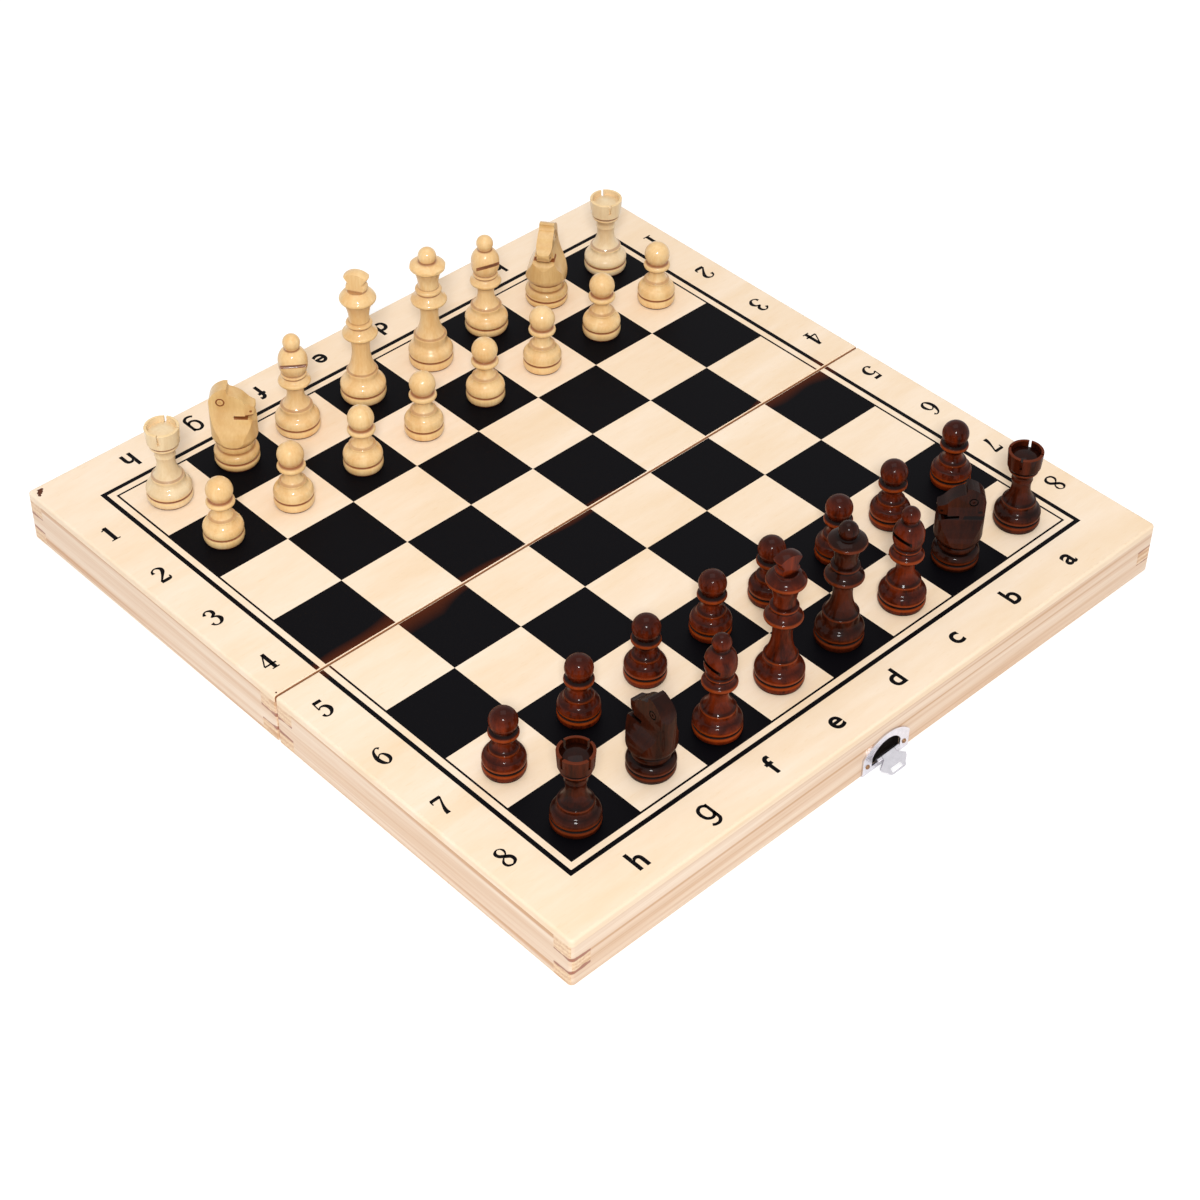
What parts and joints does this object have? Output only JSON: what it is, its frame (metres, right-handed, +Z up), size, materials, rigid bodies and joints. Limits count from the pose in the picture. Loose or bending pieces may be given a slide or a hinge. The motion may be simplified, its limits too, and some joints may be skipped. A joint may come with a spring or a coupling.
{
  "type": "magnetic folding chess set",
  "caption": "Wooden chess board of two hinged trays that fold into a latched case, with magnetic turned chess pieces standing on it.",
  "frame": {"origin": "middle of the fold line, in the plane of the tray rims that stand on the table", "axes": "+X along the fold from the a side to the h side, +Y across the fold from rank 1 to rank 8 and the latch, +Z up"},
  "size_m": [0.338, 0.354, 0.093],
  "materials": {
    "printed_panel": "satin lacquer over print",
    "board_wood": "satin lacquer",
    "light_piece_wood": "gloss lacquer",
    "dark_piece_wood": "gloss lacquer",
    "felt": "felt",
    "steel_sheet": "rolled",
    "hinge_steel": "plated",
    "nail_steel": "plated, worn",
    "latch_nickel": "nickel plated"
  },
  "bodies": {
    "dark_half": {"dark_half_felt_lining": "felt", "dark_half_fold_slat": "board_wood", "dark_half_outer_slat": "board_wood", "dark_half_panel": "printed_panel", "dark_half_side_slat_a": "board_wood", "dark_half_side_slat_h": "board_wood", "dark_half_steel_sheet": "steel_sheet", "hinge_leaf_dark_a": "hinge_steel", "hinge_leaf_dark_h": "hinge_steel", "hinge_pin_a": "hinge_steel", "hinge_pin_h": "hinge_steel", "hinge_screws_dark": "hinge_steel", "latch_plate": "latch_nickel", "latch_pin": "latch_nickel", "latch_nails": "nail_steel"},
    "light_half": {"light_half_felt_lining": "felt", "light_half_fold_slat": "board_wood", "light_half_outer_slat": "board_wood", "light_half_panel": "printed_panel", "light_half_side_slat_a": "board_wood", "light_half_side_slat_h": "board_wood", "light_half_steel_sheet": "steel_sheet", "hinge_leaf_light_a": "hinge_steel", "hinge_leaf_light_h": "hinge_steel", "hinge_screws_light": "hinge_steel", "catch_plate": "latch_nickel", "catch_nails": "nail_steel"},
    "hasp": {"hasp": "latch_nickel"},
    "dark_bishop_c_body": {"dark_bishop_c": "dark_piece_wood"},
    "dark_bishop_f_body": {"dark_bishop_f": "dark_piece_wood"},
    "dark_king_body": {"dark_king": "dark_piece_wood"},
    "dark_knight_b_body": {"dark_knight_b": "dark_piece_wood"},
    "dark_knight_g_body": {"dark_knight_g": "dark_piece_wood"},
    "dark_pawn_a_body": {"dark_pawn_a": "dark_piece_wood"},
    "dark_pawn_b_body": {"dark_pawn_b": "dark_piece_wood"},
    "dark_pawn_c_body": {"dark_pawn_c": "dark_piece_wood"},
    "dark_pawn_d_body": {"dark_pawn_d": "dark_piece_wood"},
    "dark_pawn_e_body": {"dark_pawn_e": "dark_piece_wood"},
    "dark_pawn_f_body": {"dark_pawn_f": "dark_piece_wood"},
    "dark_pawn_g_body": {"dark_pawn_g": "dark_piece_wood"},
    "dark_pawn_h_body": {"dark_pawn_h": "dark_piece_wood"},
    "dark_queen_body": {"dark_queen": "dark_piece_wood"},
    "dark_rook_a_body": {"dark_rook_a": "dark_piece_wood"},
    "dark_rook_h_body": {"dark_rook_h": "dark_piece_wood"},
    "light_bishop_c_body": {"light_bishop_c": "light_piece_wood"},
    "light_bishop_f_body": {"light_bishop_f": "light_piece_wood"},
    "light_king_body": {"light_king": "light_piece_wood"},
    "light_knight_b_body": {"light_knight_b": "light_piece_wood"},
    "light_knight_g_body": {"light_knight_g": "light_piece_wood"},
    "light_pawn_a_body": {"light_pawn_a": "light_piece_wood"},
    "light_pawn_b_body": {"light_pawn_b": "light_piece_wood"},
    "light_pawn_c_body": {"light_pawn_c": "light_piece_wood"},
    "light_pawn_d_body": {"light_pawn_d": "light_piece_wood"},
    "light_pawn_e_body": {"light_pawn_e": "light_piece_wood"},
    "light_pawn_f_body": {"light_pawn_f": "light_piece_wood"},
    "light_pawn_g_body": {"light_pawn_g": "light_piece_wood"},
    "light_pawn_h_body": {"light_pawn_h": "light_piece_wood"},
    "light_queen_body": {"light_queen": "light_piece_wood"},
    "light_rook_a_body": {"light_rook_a": "light_piece_wood"},
    "light_rook_h_body": {"light_rook_h": "light_piece_wood"}
  },
  "joints": [
    {"name": "fold", "type": "hinge", "parent": "dark_half", "child": "light_half", "pos_m": [0, 0, -0.0001], "axis": [1, 0, 0], "range_deg": [0, 180]},
    {"name": "hasp_swing", "type": "hinge", "parent": "dark_half", "child": "hasp", "pos_m": [0, 0.1724, 0.005], "axis": [1, 0, 0], "range_deg": [-50, 60]},
    {"name": "lift_dark_bishop_c", "type": "slide", "parent": "dark_half", "child": "dark_bishop_c_body", "axis": [0, 0, 1], "range_m": [0, 0.07]},
    {"name": "lift_dark_bishop_f", "type": "slide", "parent": "dark_half", "child": "dark_bishop_f_body", "axis": [0, 0, 1], "range_m": [0, 0.07]},
    {"name": "lift_dark_king", "type": "slide", "parent": "dark_half", "child": "dark_king_body", "axis": [0, 0, 1], "range_m": [0, 0.07]},
    {"name": "lift_dark_knight_b", "type": "slide", "parent": "dark_half", "child": "dark_knight_b_body", "axis": [0, 0, 1], "range_m": [0, 0.07]},
    {"name": "lift_dark_knight_g", "type": "slide", "parent": "dark_half", "child": "dark_knight_g_body", "axis": [0, 0, 1], "range_m": [0, 0.07]},
    {"name": "lift_dark_pawn_a", "type": "slide", "parent": "dark_half", "child": "dark_pawn_a_body", "axis": [0, 0, 1], "range_m": [0, 0.07]},
    {"name": "lift_dark_pawn_b", "type": "slide", "parent": "dark_half", "child": "dark_pawn_b_body", "axis": [0, 0, 1], "range_m": [0, 0.07]},
    {"name": "lift_dark_pawn_c", "type": "slide", "parent": "dark_half", "child": "dark_pawn_c_body", "axis": [0, 0, 1], "range_m": [0, 0.07]},
    {"name": "lift_dark_pawn_d", "type": "slide", "parent": "dark_half", "child": "dark_pawn_d_body", "axis": [0, 0, 1], "range_m": [0, 0.07]},
    {"name": "lift_dark_pawn_e", "type": "slide", "parent": "dark_half", "child": "dark_pawn_e_body", "axis": [0, 0, 1], "range_m": [0, 0.07]},
    {"name": "lift_dark_pawn_f", "type": "slide", "parent": "dark_half", "child": "dark_pawn_f_body", "axis": [0, 0, 1], "range_m": [0, 0.07]},
    {"name": "lift_dark_pawn_g", "type": "slide", "parent": "dark_half", "child": "dark_pawn_g_body", "axis": [0, 0, 1], "range_m": [0, 0.07]},
    {"name": "lift_dark_pawn_h", "type": "slide", "parent": "dark_half", "child": "dark_pawn_h_body", "axis": [0, 0, 1], "range_m": [0, 0.07]},
    {"name": "lift_dark_queen", "type": "slide", "parent": "dark_half", "child": "dark_queen_body", "axis": [0, 0, 1], "range_m": [0, 0.07]},
    {"name": "lift_dark_rook_a", "type": "slide", "parent": "dark_half", "child": "dark_rook_a_body", "axis": [0, 0, 1], "range_m": [0, 0.07]},
    {"name": "lift_dark_rook_h", "type": "slide", "parent": "dark_half", "child": "dark_rook_h_body", "axis": [0, 0, 1], "range_m": [0, 0.07]},
    {"name": "lift_light_bishop_c", "type": "slide", "parent": "light_half", "child": "light_bishop_c_body", "axis": [0, 0, 1], "range_m": [0, 0.07]},
    {"name": "lift_light_bishop_f", "type": "slide", "parent": "light_half", "child": "light_bishop_f_body", "axis": [0, 0, 1], "range_m": [0, 0.07]},
    {"name": "lift_light_king", "type": "slide", "parent": "light_half", "child": "light_king_body", "axis": [0, 0, 1], "range_m": [0, 0.07]},
    {"name": "lift_light_knight_b", "type": "slide", "parent": "light_half", "child": "light_knight_b_body", "axis": [0, 0, 1], "range_m": [0, 0.07]},
    {"name": "lift_light_knight_g", "type": "slide", "parent": "light_half", "child": "light_knight_g_body", "axis": [0, 0, 1], "range_m": [0, 0.07]},
    {"name": "lift_light_pawn_a", "type": "slide", "parent": "light_half", "child": "light_pawn_a_body", "axis": [0, 0, 1], "range_m": [0, 0.07]},
    {"name": "lift_light_pawn_b", "type": "slide", "parent": "light_half", "child": "light_pawn_b_body", "axis": [0, 0, 1], "range_m": [0, 0.07]},
    {"name": "lift_light_pawn_c", "type": "slide", "parent": "light_half", "child": "light_pawn_c_body", "axis": [0, 0, 1], "range_m": [0, 0.07]},
    {"name": "lift_light_pawn_d", "type": "slide", "parent": "light_half", "child": "light_pawn_d_body", "axis": [0, 0, 1], "range_m": [0, 0.07]},
    {"name": "lift_light_pawn_e", "type": "slide", "parent": "light_half", "child": "light_pawn_e_body", "axis": [0, 0, 1], "range_m": [0, 0.07]},
    {"name": "lift_light_pawn_f", "type": "slide", "parent": "light_half", "child": "light_pawn_f_body", "axis": [0, 0, 1], "range_m": [0, 0.07]},
    {"name": "lift_light_pawn_g", "type": "slide", "parent": "light_half", "child": "light_pawn_g_body", "axis": [0, 0, 1], "range_m": [0, 0.07]},
    {"name": "lift_light_pawn_h", "type": "slide", "parent": "light_half", "child": "light_pawn_h_body", "axis": [0, 0, 1], "range_m": [0, 0.07]},
    {"name": "lift_light_queen", "type": "slide", "parent": "light_half", "child": "light_queen_body", "axis": [0, 0, 1], "range_m": [0, 0.07]},
    {"name": "lift_light_rook_a", "type": "slide", "parent": "light_half", "child": "light_rook_a_body", "axis": [0, 0, 1], "range_m": [0, 0.07]},
    {"name": "lift_light_rook_h", "type": "slide", "parent": "light_half", "child": "light_rook_h_body", "axis": [0, 0, 1], "range_m": [0, 0.07]}
  ]
}
